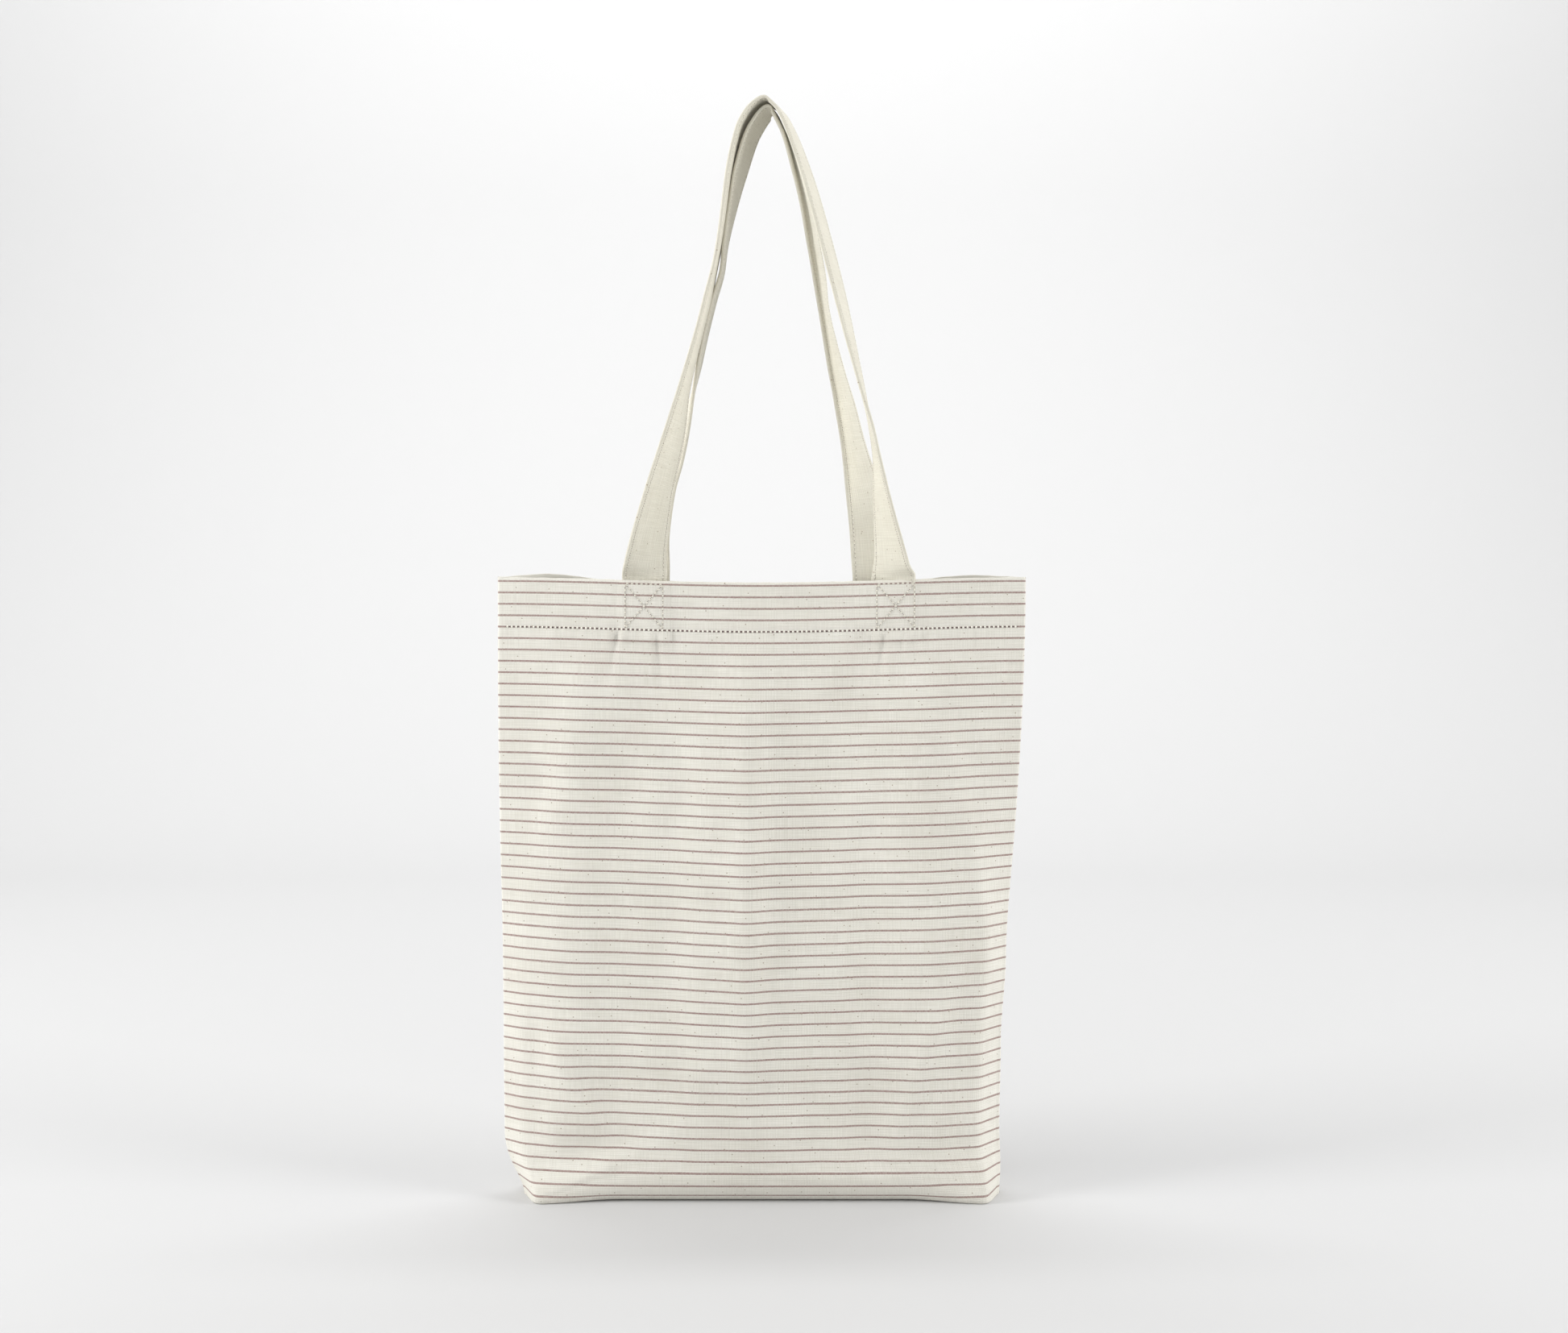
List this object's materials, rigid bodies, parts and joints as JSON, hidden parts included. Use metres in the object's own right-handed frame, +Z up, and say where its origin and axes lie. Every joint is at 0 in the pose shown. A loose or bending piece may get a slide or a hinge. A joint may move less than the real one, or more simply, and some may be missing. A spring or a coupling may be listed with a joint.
{
  "type": "canvas tote bag",
  "caption": "Open-topped canvas tote bag with a boxed base, a turned hem at the rim and twin shoulder straps sewn inside the rim with boxed cross stitches.",
  "frame": {"origin": "middle of the boxed base, on the surface that the bag stands on", "axes": "+Z up from the base to the handles, -Y towards the front panel, +X towards the bag's side seam on the right"},
  "size_m": [0.3536, 0.062, 0.7349],
  "materials": {
    "striped_canvas": "plain-woven natural cotton canvas with thin woven mauve-brown stripes",
    "strap_canvas": "plain-woven natural cotton, folded and edge-stitched",
    "seam_edge": "overcast raw edges of the canvas",
    "thread": "natural polyester-cotton sewing thread"
  },
  "bodies": {
    "bag": {"front_panel": "striped_canvas", "back_panel": "striped_canvas", "front_hem": "striped_canvas", "back_hem": "striped_canvas", "front_hem_stitch": "thread", "back_hem_stitch": "thread", "front_box_stitch_left": "thread", "front_box_stitch_right": "thread", "back_box_stitch_left": "thread", "back_box_stitch_right": "thread", "front_strap_end_left": "strap_canvas", "front_strap_end_right": "strap_canvas", "back_strap_end_left": "strap_canvas", "back_strap_end_right": "strap_canvas", "left_side_seam": "seam_edge", "right_side_seam": "seam_edge", "left_corner_seam": "seam_edge", "right_corner_seam": "seam_edge", "bottom_seam": "seam_edge"},
    "front_handle": {"front_handle": "strap_canvas"},
    "back_handle": {"back_handle": "strap_canvas"}
  },
  "joints": [
    {"name": "front_handle_fold", "type": "hinge", "parent": "bag", "child": "front_handle", "pos_m": [0, -0.013, 0.413], "axis": [1, 0, 0], "range_deg": [0, 150]},
    {"name": "back_handle_fold", "type": "hinge", "parent": "bag", "child": "back_handle", "pos_m": [0, 0.013, 0.413], "axis": [-1, 0, 0], "range_deg": [0, 150]}
  ]
}
